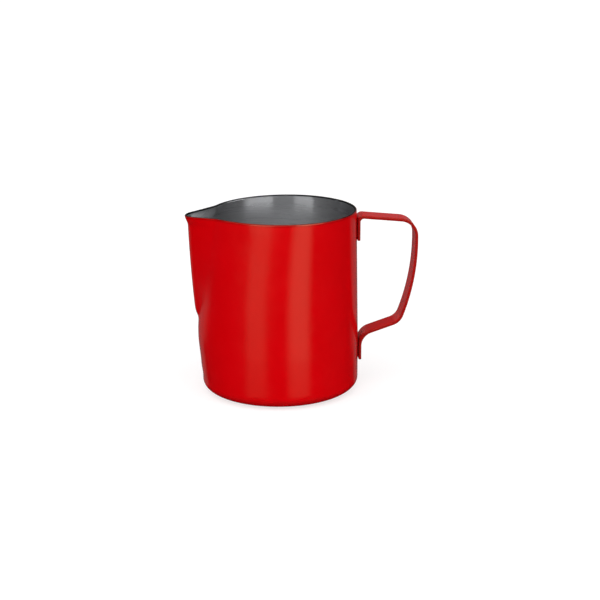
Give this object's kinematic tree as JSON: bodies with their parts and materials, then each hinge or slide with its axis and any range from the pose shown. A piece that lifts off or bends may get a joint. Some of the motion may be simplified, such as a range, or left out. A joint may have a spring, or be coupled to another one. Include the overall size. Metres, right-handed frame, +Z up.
{
  "type": "milk frothing pitcher",
  "caption": "Red-coated drawn steel jug with a pressed V pouring spout, bare brushed inside and a bent flat-strip handle spot-welded to its back.",
  "frame": {"origin": "centre of the standing face, on the axis of the jug's round wall", "axes": "+Z up out of the mouth, +X towards the handle, the spout towards -X, mirror plane XZ"},
  "size_m": [0.1097, 0.0754, 0.0873],
  "materials": {
    "bare_steel": "satin, brushed round the jug, bare cut edge at the rim",
    "body_coat": "semi-gloss red polymer coat",
    "handle_coat": "semi-gloss red coat on steel strip",
    "weld_metal": "dull weld metal, out of sight between tab and wall"
  },
  "bodies": {
    "root": {"body_shell": "bare_steel", "body_coating": "body_coat", "handle": "handle_coat", "upper_welds": "weld_metal", "lower_welds": "weld_metal"}
  },
  "joints": []
}
